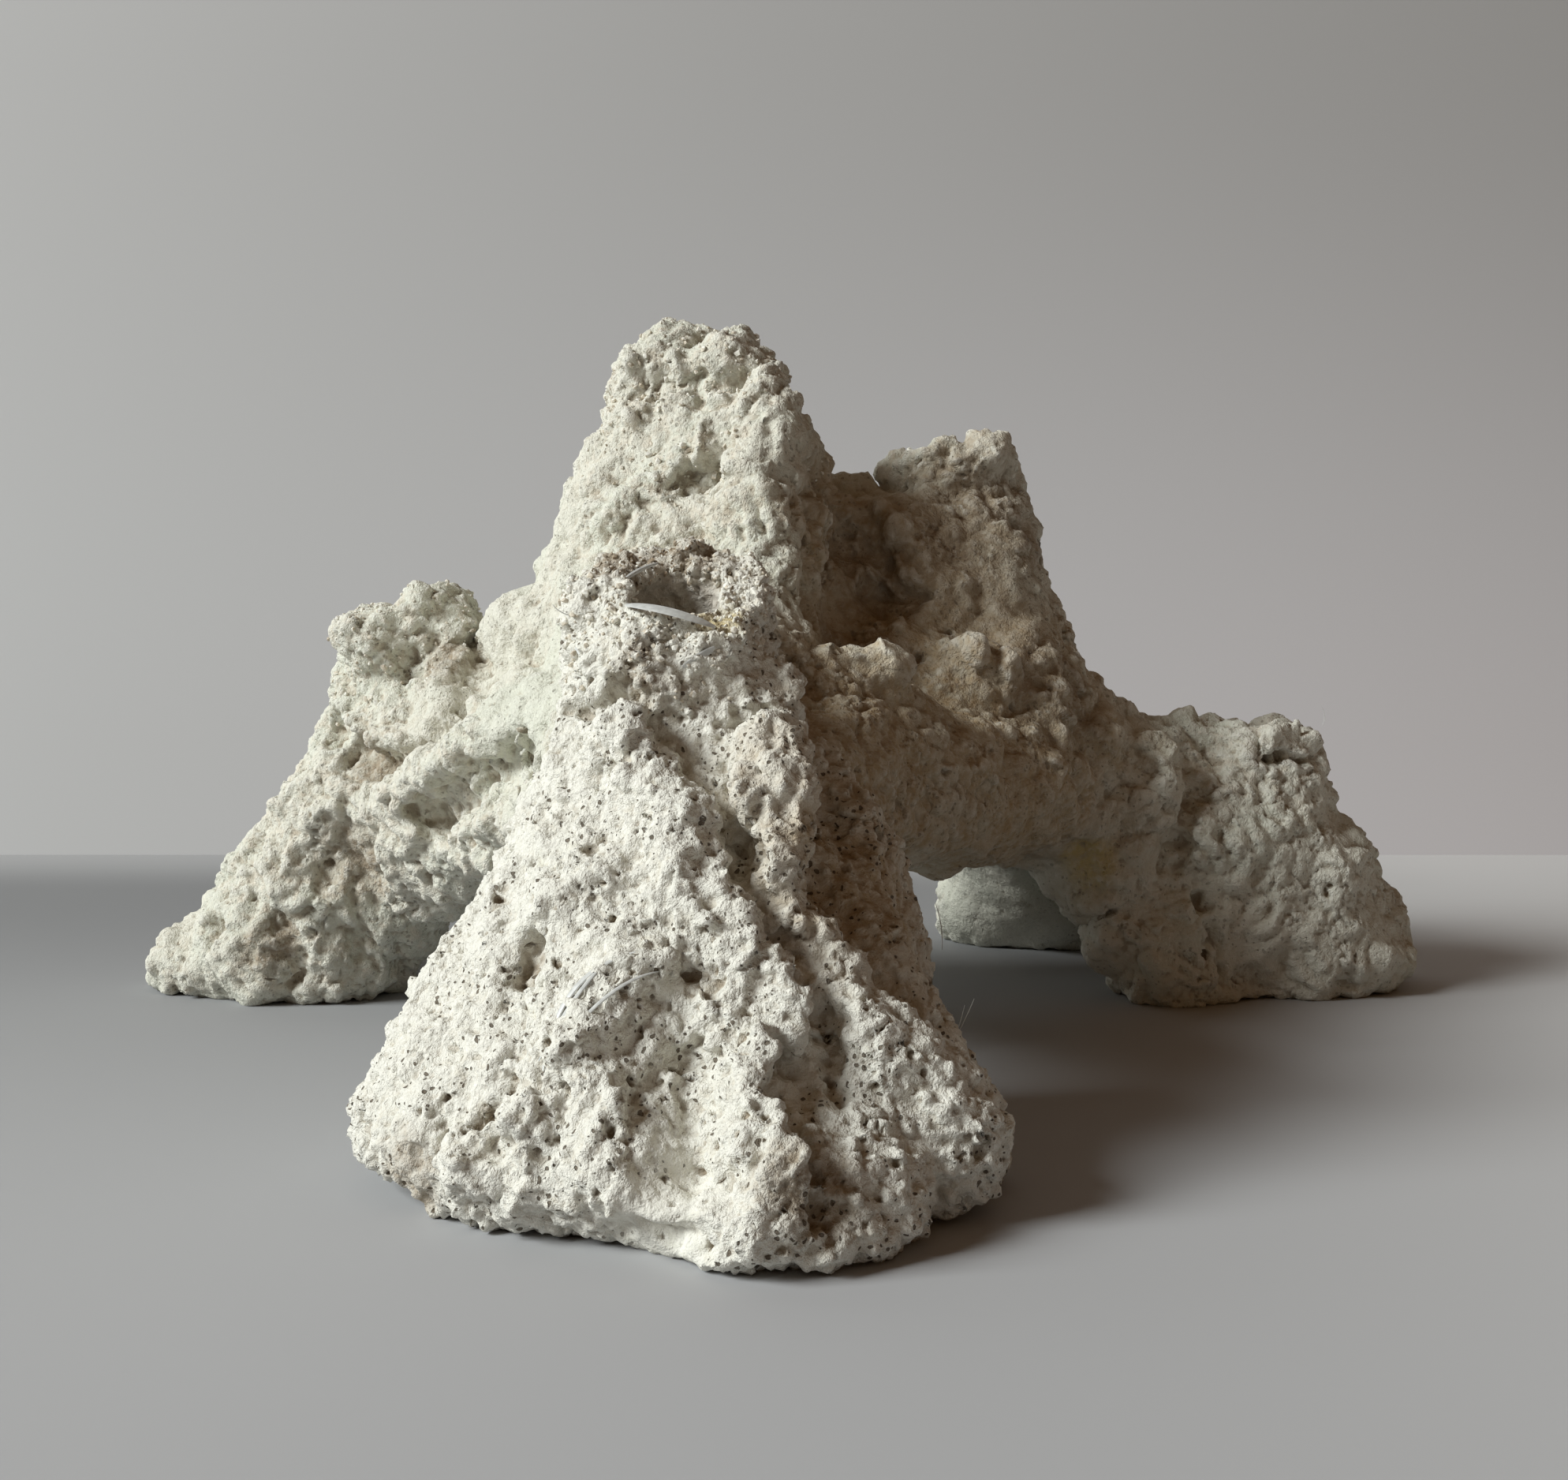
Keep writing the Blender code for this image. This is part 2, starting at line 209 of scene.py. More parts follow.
# Painted shade: where the cement is darkened brown all over on the web, the valley, the saddle and the
# right flank of the front leg, with some brown staining: (centre), radius
SHADED_BROWN = [
    ((26, 4, 36), 27),
    ((14, 14, 62), 19),
    ((12, 2, 50), 13),
    ((9, -28, 34), 24),
    ((9, -60, 30), 14),
]

# Brown stains, some of them painted shade, on the valley, the back tower's wall, the saddle and the far rim
# of the front socket: (centre), radius
STAINS_AND_SHADE = [
    ((12, 14, 60), 8),
    ((27, 20, 66), 13),
    ((36, 8, 44), 9),
    ((-17, -47, 58), 3.6),
    ((-10, -44, 60), 4.0),
    ((2, -89, 6.4), 4.2),
    ((-47, 18, 48.5), 4.0),
    ((-60, 17, 20), 5),
    ((-72, 18, 9), 4),
    ((-57, 18, 34), 4),
    ((10, 1, 50), 7),
    ((-23, -71, 22), 1.6),
    ((-32, -74, 4), 4),
    ((-14, -57, 47), 3),
]

# Yellow blots: (centre), radius
YELLOWS = [
    ((42, 19, 21), 3.8),
    ((-6.5, -55, 53.5), 3.0),
    ((-15, -60, 45), 1.2),
]

# Bores of the plug sockets: (middle of the mouth), (way out), radius, depth
BORES = [
    ((-11.2, -50.1, 55.8), (0.016, -0.438, 0.899), 4.6, 9),
    ((-54.7, 28.9, 56.8), (-0.257, -0.105, 0.961), 4.6, 9),
    ((68.8, 35.9, 38.8), (0.070, -0.035, 0.997), 4.6, 9),
    ((23.8, 33.9, 79.8), (-0.173, -0.105, 0.979), 4.6, 9),
]

# Stretches of the rock: (low corner), (high corner), mesh step in millimetres, triangle budget
REGIONS = {
    "rock_front_socket": ((-60, -100, 34), (60, -18, 100), 0.30, 150000),
    "rock_front_leg": ((-60, -100, -5), (60, -18, 38), 0.32, 195000),
    "rock_tower": ((-35, -22, -5), (40, 54, 100), 0.37, 190000),
    "rock_left_leg": ((-100, -22, -5), (-31, 56, 100), 0.38, 120000),
    "rock_right_leg": ((36, -22, -5), (100, 54, 100), 0.38, 110000),
    "rock_back_leg": ((-35, 50, -5), (100, 100, 100), 0.45, 75000),
}

# Sand grains: piece, (centre), radius of the patch, number of grains, smallest and largest half width
SAND = {
    "socket_sand": ((-11, -50, 54), 15, 1200, 0.16, 0.5),
    "tower_sand": ((-12, 18, 84), 22, 700, 0.2, 0.5),
    "left_sand": ((-55, 29, 52), 16, 400, 0.2, 0.5),
}

# Clear fibres: (points near it), half width, half thickness, how far the middle stands off the surface
FIBRES = [
    (((-15.5, -54, 54.5), (-12, -56, 52.5), (-7.5, -56, 52.5)), 0.8, 0.16, 1.5),
    (((-10, -58, 48), (-7, -57, 50)), 0.4, 0.1, 0.6),
    (((-20, -79, 14.5), (-17, -77, 18.6), (-12.8, -75, 22.6)), 0.3, 0.12, 0.9),
    (((-20.8, -79, 14.8), (-17.8, -77, 19.4), (-13.9, -75, 22.8)), 0.22, 0.1, 0.8),
    (((-19.3, -79, 14.2), (-16.1, -77, 17.9), (-11.8, -75, 21.6)), 0.2, 0.1, 1.0),
    (((-21, -53, 50), (-20, -54, 49)), 0.12, 0.06, 0.4),
]

# Hairs that stand away from the rock: (start), (middle), (end), half width
HAIRS = [
    ((16.0, -38.5, 22.6), (16.6, -38.8, 20.2), (16.7, -39.0, 17.6), 0.055),
    ((16.2, -62.0, 13.5), (17.0, -62.5, 15.4), (17.6, -63.0, 17.0), 0.045),
    ((16.0, -62.0, 13.5), (16.4, -62.5, 14.9), (16.7, -63.0, 16.4), 0.04),
    ((76.0, 24.0, 39.0), (76.4, 24.0, 40.4), (75.8, 24.0, 42.0), 0.05),
    ((-21, -51, 53), (-22.3, -51.4, 53.4), (-23.2, -51.6, 54.2), 0.05),
    ((-16.4, -51, 56.4), (-14.8, -49.5, 57.6), (-13.0, -48, 58.4), 0.24),
]

# Far rim of the front socket, where the sand is painted darkest as shade
FAR_RIM = (-13.5, -45.5, 59.5)

# How the surface is shaped; lengths are in millimetres

# Share of the heights in FOLDS and of the depths in PITS that the cast takes on
FOLD_STRENGTH = 1.35
PIT_STRENGTH = 0.75

# How far apart the forms of each kind lie, and how high they stand or how deep they reach; the
# cavities differ in depth by the spread
LUMP_SPACING, LUMP_HEIGHT = 8, 2.6
KNOB_SPACING, KNOB_HEIGHT = 4.2, 2.1
POPCORN_SPACING, POPCORN_HEIGHT = 2.5, 0.66
CHUNK_SPACING, CHUNK_HEIGHT, CREVICE_DEPTH = 3.4, 0.6, 0.3
CAVITY_SPACING, CAVITY_DEPTH, CAVITY_SPREAD = 6.0, 0.4, 0.6
GRAIN_SPACING, GRAIN_HEIGHT = 1.1, 0.66
CRUMB_SPACING, CRUMB_HEIGHT = 1.7, 0.55
PINHOLE_SPACING, PINHOLE_DEPTH = 1.3, 0.6

# Taken off the size of the waves, so that the lumps and knobs sink as well as rise
WAVE_LEVEL = 0.18

# The chalky bloom grows towards the front between these distances from the middle
CHALK_FROM, CHALK_FULL = 30, 44

# The fine relief softens between these places on the way to the back
CRISP_UP_TO, SOFT_FROM = -30, 5

# Smoothing passes that find a dent, and the depth that counts as a full one
NARROW_DENT = (3, 0.12)
WIDE_DENT = (24, 0.7)

# How far round a bore its own finish reaches, and the depths below its mouth where that fades in
BORE_REACH = 0.7
RIM_FADE = (-1.8, -0.3)

# Sides of a fibre's rings, number of rings along it, and how far its ends stand off the surface
ROUND_SIDES = 8
FIBRE_RINGS = 14
END_LIFT = 0.3

# Width of a fibre's tip as a share of its middle's, and how bluntly it narrows towards it
TIP_WIDTH, BLUNTNESS = 0.12, 0.4

# The studio, in metres and degrees, with the lens and its sensor in millimetres
CAMERA_PLACE, CAMERA_TILT = (-0.00023, -0.22911, 0.0494), 87.2
LENS, SENSOR, NEAREST_SEEN = 41.02, 36, 0.01
FLOOR_END = 0.206
FLOOR = ((-1.5, -1.5, 0), (1.5, FLOOR_END, 0))
BACKDROP = ((-2, 0.75, -0.6), (2, 0.75, 1.4))
WINDOW_SIZE, WINDOW_TINT = (1.0, 0.85), (0.96, 1, 1)
ROCK_MIDDLE = (0, 0, 0.04)

# Azimuth, elevation and distance of the window light
WINDOW_PLACE = (68, 32, 2.3)

# Large odd factors that scatter a cell's whole numbers over all 32 bits
AXIS_FACTORS = (0x9E3779B1, 0x85EBCA77, 0xC2B2AE3D)
SEED_FACTOR, SEED_OFFSET = 0x27D4EB2F, 0x165667B1
MIXING_ROUNDS = ((15, 0x2C1B3C6D), (12, 0x297A2D39), (15, 0x85EBCA6B))
LAST_SHIFT = 14
ALL_BITS = 0xFFFFFFFF

# Ten bits of such a number, read as a share from 0 to 1
TEN_BITS = 1023


def scramble(cells, seed):
    """A repeatable whole random number for each cell of a grid."""
    part = cells.astype(np.uint32)
    mixed = np.full(len(part), (seed * SEED_FACTOR + SEED_OFFSET) & ALL_BITS, np.uint32)
    for axis, factor in enumerate(AXIS_FACTORS):
        mixed ^= part[:, axis] * np.uint32(factor)
    for shift, factor in MIXING_ROUNDS:
        mixed ^= mixed >> np.uint32(shift)
        mixed *= np.uint32(factor)
    return mixed ^ (mixed >> np.uint32(LAST_SHIFT))


def share_of(mixed, shift):
    """Ten bits of some whole random numbers, from the given bit up, as shares from 0 to 1."""
    return (mixed >> np.uint32(shift) & np.uint32(TEN_BITS)).astype(np.float32) / TEN_BITS


# The twelve ways to the middles of a cube's edges, four of them twice to make sixteen
SLOPES = np.array(
    [d for d in itertools.product((-1, 0, 1), repeat=3) if sum(map(abs, d)) == 2]
    + [(1, 1, 0), (-1, 1, 0), (0, -1, 1), (0, -1, -1)],
    np.float32,
)


def waves(points, size, seed=0):
    """Smooth noise from about -1 to 1 with hills `size` millimetres wide."""
    scaled = (points / size).astype(np.float32)
    cell = np.floor(scaled)
    inner = scaled - cell
    fade = inner ** 3 * (inner * (inner * 6 - 15) + 10)
    cell = cell.astype(np.int64)
    total = np.zeros(len(points), np.float32)
    for corner in itertools.product((0, 1), repeat=3):
        offset = np.array(corner)
        slope = SLOPES[scramble(cell + offset, seed) & 15]
        weight = np.prod(np.where(offset, fade, 1 - fade), axis=1)
        total += weight * ((inner - offset) * slope).sum(axis=1)
    return total


def rubble(points, size, octaves, seed=0):
    """Waves of several sizes on top of each other, each half as wide as the one before."""
    total = 0
    for octave in range(octaves):
        total = total + waves(points, size / 2 ** octave, seed + octave) / 2 ** octave
    return total


def pebbles(points, size, seed=0):
    """Distances to the nearest two of a scatter of points, and the nearest one's own number from 0 to 1."""
    scaled = (points / size).astype(np.float32)
    home = np.floor(scaled).astype(np.int64)
    inner = scaled - home
    first = np.full(len(points), 9, np.float32)
    second = first.copy()
    chosen = np.zeros(len(points), np.uint32)
    for step in itertools.product((-1, 0, 1), repeat=3):
        mixed = scramble(home + np.array(step), seed)
        distance = np.zeros(len(points), np.float32)
        for axis in range(3):
            distance += (share_of(mixed, axis * 10) + step[axis] - inner[:, axis]) ** 2
        closer = distance < first
        second = np.where(closer, first, np.minimum(second, distance))
        first = np.where(closer, distance, first)
        chosen = np.where(closer, mixed, chosen)
    return np.sqrt(first), np.sqrt(second), share_of(chosen * np.uint32(AXIS_FACTORS[0]), 12)


def warp(points, size, amount, seed=0):
    """Pushes points about sideways, so that a pattern read at them loses its regularity."""
    push = np.stack([waves(points, size, seed + k) for k in range(3)], axis=1)
    return points + push * amount


def step_up(value, low, high):
    """0 below low, 1 above high, and a smooth rise between."""
    share = np.clip((value - low) / (high - low), 0, 1)
    return share * share * (3 - 2 * share)


def patches(points, spots, ragged, edge=0.45):
    """1 inside any of the spots and 0 outside; the ragged noise breaks up the soft edge."""
    cover = np.zeros(len(points), np.float32)
    for centre, radius in spots:
        away = np.linalg.norm(points - np.array(centre), axis=1) / radius
        cover = np.maximum(cover, 1 - step_up(away + ragged, 1 - edge, 1 + edge))
    return cover


def fold_height(points, folds):
    """Sum of the ridges and gullies, each fading out over its half width."""
    height = np.zeros(len(points), np.float32)
    for line, half_width, rise in folds:
        line = np.array(line, float)
        low = line.min(axis=0) - half_width
        high = line.max(axis=0) + half_width
        near = np.where(((points > low) & (points < high)).all(axis=1))[0]
        nearest = np.full(len(near), half_width)
        for start, end in zip(line, line[1:]):
            along = end - start
            share = np.clip((points[near] - start) @ along / (along @ along), 0, 1)
            foot = start + share[:, None] * along
            nearest = np.minimum(nearest, np.linalg.norm(points[near] - foot, axis=1))
        height[near] += rise * (1 - (nearest / half_width) ** 2) ** 2
    return height


def spot_height(points, spots, flatness):
    """Sum of the round spots' heights; the flatness is the share of the radius that stays level."""
    height = np.zeros(len(points), np.float32)
    for centre, radius, rise in spots:
        near = np.where((np.abs(points - np.array(centre)) < radius).all(axis=1))[0]
        away = np.linalg.norm(points[near] - np.array(centre), axis=1) / radius
        height[near] += rise * (1 - step_up(away, flatness, 1))
    return height


def bored(points):
    """1 on the walls and floors of the bores, fading to 0 outside them."""
    cover = np.zeros(len(points), np.float32)
    for mouth, out, radius, depth in BORES:
        away = points - np.array(mouth)
        along = away @ np.array(out)
        beside = np.linalg.norm(away - along[:, None] * np.array(out), axis=1)
        near = (1 - step_up(beside, radius, radius + BORE_REACH)) * (along > -depth - BORE_REACH)
        cover = np.maximum(cover, near * (1 - step_up(along, *RIM_FADE)))
    return cover


def read(items, name, width, kind=np.float32):
    """One property of all the vertices, edges or faces of a mesh, in rows of the given width."""
    found = np.zeros(len(items) * width, kind)
    items.foreach_get(name, found)
    return found.reshape(-1, width)


class Cast:
    """The rock's surface mesh while it is being shaped, in millimetres."""

    def __init__(self, mesh):
        self.mesh = mesh
        self.points = read(mesh.vertices, "co", 3) / MM
        self.start = self.points.copy()
        self.ends = read(mesh.edges, "vertices", 2, np.int32)
        self.degree = np.bincount(self.ends.ravel(), minlength=len(self.points)).astype(np.float32)

    def write(self):
        self.mesh.vertices.foreach_set("co", (self.points * MM).astype(np.float32).ravel())
        self.mesh.update()

    def normals(self):
        self.write()
        return read(self.mesh.vertex_normals, "vector", 3)

    def neighbour_mean(self, values):
        """Mean of a value over each vertex's neighbours."""
        first, second = self.ends.T
        columns = []
        for column in np.atleast_2d(values.T):
            total = np.bincount(first, column[second], len(column))
            total += np.bincount(second, column[first], len(column))
            columns.append(total / self.degree)
        return np.array(columns, np.float32).T.reshape(values.shape)

    def raise_by(self, height):
        """Moves every vertex outwards by its height."""
        self.points += self.normals() * np.asarray(height, np.float32)[:, None]

    def dents(self, passes, full_depth):
        """How far each vertex lies below the surface round it, as a share of a full depth."""
        level = self.points
        for _ in range(passes):
            level = level + (self.neighbour_mean(level) - level) * 0.6
        return ((level - self.points) * self.normals()).sum(axis=1) / full_depth


def block(low, high):
    """A box from corner to corner, to part the rock with."""
    bm = bmesh.new()
    bmesh.ops.create_cube(bm, size=1)
    for vertex in bm.verts:
        for k in range(3):
            vertex.co[k] = (low[k] + high[k]) / 2 * MM + vertex.co[k] * (high[k] - low[k]) * MM
    mesh = bpy.data.meshes.new("block")
    bm.to_mesh(mesh)
    bm.free()
    return bpy.data.objects.new("block", mesh)


def settle(carrier):
    """Replaces the object's mesh by what its modifiers make of it."""
    graph = bpy.context.evaluated_depsgraph_get()
    made = bpy.data.meshes.new_from_object(carrier.evaluated_get(graph))
    old = carrier.data
    carrier.modifiers.clear()
    carrier.data = made
    bpy.data.meshes.remove(old)


def fine_piece(name, low, high, step, passes):
    """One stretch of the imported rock's surface as an even mesh of a given step, without its facets."""
    piece = bpy.data.objects.new(name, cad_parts[ROCK_NODE].data.copy())
    cutter = block(low, high)
    for made in (piece, cutter):
        bpy.context.scene.collection.objects.link(made)
    piece.data.materials.clear()
    parting = piece.modifiers.new("parting", "BOOLEAN")
    parting.operation = "INTERSECT"
    parting.solver = "EXACT"
    parting.object = cutter
    fuse = piece.modifiers.new("fuse", "REMESH")
    fuse.mode = "VOXEL"
    # the subdivision at the end halves the step
    fuse.voxel_size = step * 2
    fuse.use_smooth_shade = True
    soften = piece.modifiers.new("soften", "SMOOTH")
    soften.iterations = passes
    refine = piece.modifiers.new("refine", "SUBSURF")
    refine.levels = refine.render_levels = 1
    settle(piece)
    bpy.data.objects.remove(cutter)
    return piece


def thin_out(piece, triangles):
    """Collapses the piece's mesh to its triangle budget."""
    piece.data.calc_loop_triangles()
    there = len(piece.data.loop_triangles)
    if there > triangles:
        collapse = piece.modifiers.new("collapse", "DECIMATE")
        collapse.ratio = triangles / there
        settle(piece)


# Values of the skin that are kept; the sand reads the first and the cement material the others
SKIN_LAYERS = ("crust", "slick", "rough", "chalk", "bore", "shaded_brown", "stain_and_shade", "yellow")


class Skin:
    """How the cast's surface differs from place to place: values from 0 to 1 for each vertex."""

    def __init__(self, ground):
        ragged = rubble(ground, size=7, octaves=3, seed=41) * 0.35
        self.bore = bored(ground)
        self.open_air = 1 - 0.85 * self.bore
        self.crust = patches(ground, CRUSTS, ragged) * (1 - self.bore)
        self.slick = patches(ground, SLICKS, ragged) * (1 - self.crust)
        self.chalk = step_up(-ground[:, 1], CHALK_FROM, CHALK_FULL)
        mottled = step_up(rubble(ground, size=16, octaves=3, seed=5), -0.25, 0.35)
        self.rough = np.clip(self.crust + mottled * 0.6 + self.chalk * 0.2, 0, 1) * (1 - self.slick * 0.85)
        self.far = step_up(ground[:, 1], CRISP_UP_TO, SOFT_FROM)
        self.shaded_brown = patches(ground, SHADED_BROWN, ragged, edge=0.6)
        self.stain_and_shade = patches(ground, STAINS_AND_SHADE, ragged)
        self.yellow = patches(ground, YELLOWS, ragged)


def raise_forms(cast, skin):
    """The placed folds and lumps, with rounded lumps and knobs everywhere."""
    bent = warp(cast.start, size=6, amount=2.0, seed=11)
    lumps = (np.abs(waves(bent, LUMP_SPACING, seed=21)) - WAVE_LEVEL) * LUMP_HEIGHT
    knobs = (np.abs(waves(bent, KNOB_SPACING, seed=22)) - WAVE_LEVEL) * KNOB_HEIGHT
    knobs = knobs * (1 - 0.15 * skin.crust)
    swell = lumps * (1 - 0.15 * skin.chalk) + knobs * (1 - 0.6 * skin.chalk)
    swell *= (0.55 + 0.45 * skin.rough) * (1 - 0.7 * skin.slick)
    wanted = warp(warp(cast.start, size=5, amount=1.6, seed=17), size=2.2, amount=0.8, seed=15)
    placed = fold_height(wanted, FOLDS) * FOLD_STRENGTH + spot_height(wanted, LUMPS, flatness=0.15)
    cast.raise_by((placed + swell) * skin.open_air)


def sink_pits(cast):
    """The placed pits; returns how deep they reach."""
    sunk = spot_height(warp(cast.start, size=1.5, amount=1.2, seed=16), PITS, flatness=0.3)
    cast.raise_by(sunk * -PIT_STRENGTH)
    return sunk


def raise_popcorn(cast, skin, share):
    """Rounded bumps of the crust."""
    bent = warp(cast.points, size=2.5, amount=0.9, seed=31)
    near, _, number = pebbles(bent, POPCORN_SPACING, seed=51)
    dome = np.clip(1 - near / 0.85, 0, 1) ** 0.6 * (0.4 + 0.7 * number)
    where = np.clip(skin.rough - 0.2, 0, 1)
    cast.raise_by((dome - 0.35) * POPCORN_HEIGHT * where * (1 - 0.4 * skin.chalk) * share)


def raise_chunks(cast, skin):
    """Angular chunks of different heights with crevices between them."""
    bent = warp(cast.points, size=2.2, amount=1.3, seed=35)
    near, after, number = pebbles(bent, CHUNK_SPACING, seed=53)
    crevice = 1 - step_up(after - near, 0.0, 0.14)
    broken = step_up(rubble(cast.start, size=9, octaves=2, seed=36), 0.0, 0.35) * (1 - skin.slick)
    height = number * CHUNK_HEIGHT - CHUNK_HEIGHT / 2 - crevice * CREVICE_DEPTH
    cast.raise_by(height * broken * skin.open_air)


def sink_cavities(cast, skin):
    """A few deep cavities; returns where they are."""
    bent = warp(cast.points, size=1.6, amount=1.1, seed=37)
    near, _, number = pebbles(bent, CAVITY_SPACING, seed=54)
    cavity = step_up(0.04 + 0.14 * number - near, 0, 0.07) * (number > 0.72)
    cavity = cavity * (1 - 0.8 * skin.slick) * (1 - skin.bore)
    cast.raise_by(-cavity * (CAVITY_DEPTH + CAVITY_SPREAD * number) * (1 - 0.3 * skin.chalk))
    return cavity


def raise_grains(cast, skin):
    """Grains, and irregular crumbs between them."""
    near, _, number = pebbles(warp(cast.points, size=1.2, amount=0.5, seed=33), GRAIN_SPACING, seed=52)
    grain = np.clip(1 - near / 0.75, 0, 1) * (0.2 + number)
    coarse = 0.4 + 0.6 * np.maximum(skin.rough, 0.85 * skin.chalk)
    height = (grain - 0.3) * GRAIN_HEIGHT * coarse * (1 - 0.4 * skin.far)
    cast.raise_by(height * (1 - 0.7 * skin.slick) * (1 - 0.2 * skin.bore))
    crumbs = rubble(warp(cast.points, size=1.2, amount=0.6, seed=38), CRUMB_SPACING, octaves=2, seed=62)
    height = crumbs * CRUMB_HEIGHT * (1 - 0.25 * skin.far) * (1 - 0.6 * skin.slick)
    cast.raise_by(height * (0.6 + 0.4 * np.maximum(skin.rough, skin.chalk)))


def sink_pinholes(cast, skin):
    """Pinholes in swarms; returns where they are."""
    swarm = step_up(rubble(cast.start, size=9, octaves=2, seed=73), -0.05, 0.35)
    bent = warp(cast.points, size=0.8, amount=0.35, seed=72)
    near, _, number = pebbles(bent, PINHOLE_SPACING, seed=71)
    wide = 0.07 + 0.24 * number * number
    pin = step_up(wide - near, -0.04, 0.08) * (number > 0.86 - 0.5 * swarm)
    pin *= 0.35 + 0.65 * skin.chalk
    pin *= 1 - skin.bore
    cast.raise_by(-pin * PINHOLE_DEPTH * (1 - 0.4 * skin.crust))
    return pin


def shape_cast(cast, settings):
    """Shapes the surface from coarse to fine and returns the values to keep for each vertex."""
    skin = Skin(cast.start)
    raise_forms(cast, skin)
    sunk = sink_pits(cast)
    raise_popcorn(cast, skin, settings.popcorn_height)
    raise_chunks(cast, skin)
    cavity = sink_cavities(cast, skin)
    raise_grains(cast, skin)
    pin = sink_pinholes(cast, skin)
    # the feet stay on the floor
    cast.points[:, 2] = np.maximum(cast.points[:, 2], 0)
    cast.write()
    layers = {name: getattr(skin, name) for name in SKIN_LAYERS}
    # painted shade for the cavities, pits and pinholes; the dents below feed the painted shade and
    # highlight
    layers["hollow"] = np.clip(cavity * 0.8 + sunk * 0.6 + pin * 0.8, 0, 1)
    layers["dent"] = cast.dents(*NARROW_DENT)
    layers["wide_dent"] = cast.dents(*WIDE_DENT)
    return layers


def store(mesh, name, values):
    """Keeps a value for each vertex of the mesh under a name."""
    layer = mesh.attributes.new(name, "FLOAT", "POINT")
    layer.data.foreach_set("value", np.ascontiguousarray(values, np.float32))


def cast_pieces(settings):
    """Makes the rock's surface, one stretch after the other, and returns the pieces."""
    finish = cement_finish(bpy.context.scene.dry_rock_colours)
    made = []
    for name, (low, high, step, triangles) in REGIONS.items():
        piece = fine_piece(name, low, high, step * settings.surface_step * MM, settings.smoothing)
        for layer, values in shape_cast(Cast(piece.data), settings).items():
            store(piece.data, layer, values)
        thin_out(piece, triangles)
        piece.data.materials.append(finish)
        made.append(piece)
    return made


def shards(count, rng):
    """Unit-sized lumpy grains of twenty faces each: their corners, and the faces of one."""
    bm = bmesh.new()
    bmesh.ops.create_icosphere(bm, subdivisions=1, radius=1)
    corners = np.array([vertex.co[:] for vertex in bm.verts])
    faces = np.array([[vertex.index for vertex in face.verts] for face in bm.faces])
    bm.free()
    lumpy = corners * rng.uniform(0.6, 1.25, (count, len(corners), 1))
    lumpy = lumpy * rng.uniform(0.55, 1.2, (count, 1, 3))
    turn, _ = np.linalg.qr(rng.normal(size=(count, 3, 3)))
    return np.einsum("gij,gcj->gci", turn, lumpy), faces


def mesh_piece(name, corners, faces, finish):
    """An object from many like shapes: corners has one row of points for each shape."""
    count, size = corners.shape[:2]
    mesh = bpy.data.meshes.new(name)
    all_faces = (faces[None] + (np.arange(count) * size)[:, None, None]).reshape(-1, faces.shape[1])
    mesh.from_pydata((corners.reshape(-1, 3) * MM).tolist(), [], all_faces.tolist())
    bm = bmesh.new()
    bm.from_mesh(mesh)
    bmesh.ops.recalc_face_normals(bm, faces=bm.faces)
    bm.to_mesh(mesh)
    bm.free()
    mesh.materials.append(finish)
    piece = bpy.data.objects.new(name, mesh)
    bpy.context.scene.collection.objects.link(piece)
    return piece


def read_surface(pieces):
    """Middles, normals, areas and crust of the triangles of some pieces, in millimetres."""
    found = []
    for piece in pieces:
        mesh = piece.data
        mesh.calc_loop_triangles()
        ends = read(mesh.loop_triangles, "vertices", 3, np.int32)
        normals = read(mesh.loop_triangles, "normal", 3)
        crust = read(mesh.attributes["crust"].data, "value", 1)[:, 0]
        corners = read(mesh.vertices, "co", 3)[ends] / MM
        across = np.cross(corners[:, 1] - corners[:, 0], corners[:, 2] - corners[:, 0])
        area = np.linalg.norm(across, axis=1) / 2
        found.append((corners.mean(axis=1), normals, area, crust[ends].mean(axis=1)))
    return [np.concatenate(column) for column in zip(*found)]


def sand_pieces(settings):
    """Loose grains, nearly half sunk in the crust."""
    surface = [bpy.data.objects[name] for name in REGIONS]
    finish = grain_finish(bpy.context.scene.dry_rock_colours)
    places, normals, area, crust = read_surface(surface)
    made = []
    for seed, (name, (centre, radius, count, small, large)) in enumerate(SAND.items()):
        rng = np.random.default_rng(seed + 1)
        count = int(count * settings.sand)
        near = np.linalg.norm(places - np.array(centre), axis=1) < radius
        weight = np.where(near, area * crust ** 2, 0)
        chosen = rng.choice(len(area), count, p=weight / weight.sum())
        # most grains are small
        half = small + (large - small) * rng.random(count) ** 2.5
        corners, faces = shards(count, rng)
        # their middles lie just above the surface
        seats = places[chosen] + normals[chosen] * half[:, None] * 0.15
        corners = corners * half[:, None, None] + seats[:, None]
        corners[..., 2] = np.maximum(corners[..., 2], 0)
        made.append(mesh_piece(name, corners, faces, finish))
    return made


def tapered_tube(line, half_width, half_thickness, across):
    """Rings round a smooth line, flattened along `across` and drawn to points at both ends."""
    line = np.array(line, float)
    if len(line) == 2:
        line = np.array([line[0], (line[0] + line[1]) / 2, line[1]])
    # a quadratic through the three points, reached at the shares 0, 1/2 and 1
    first, middle, last = line
    bend = 2 * middle - (first + last) / 2
    along = last - first
    side = np.cross(along, across)
    side /= np.linalg.norm(side)
    depth = np.cross(side, along / np.linalg.norm(along))
    rings = []
    for s in np.linspace(0, 1, FIBRE_RINGS):
        point = (1 - s) ** 2 * first + 2 * s * (1 - s) * bend + s * s * last
        swell = math.sin(math.pi * min(max(s, 0.02), 0.98))
        taper = TIP_WIDTH + (1 - TIP_WIDTH) * swell ** BLUNTNESS
        for k in range(ROUND_SIDES):
            turn = 2 * math.pi * k / ROUND_SIDES
            outward = side * half_width * math.cos(turn) + depth * half_thickness * math.sin(turn)
            rings.append(point + taper * outward)
    return rings


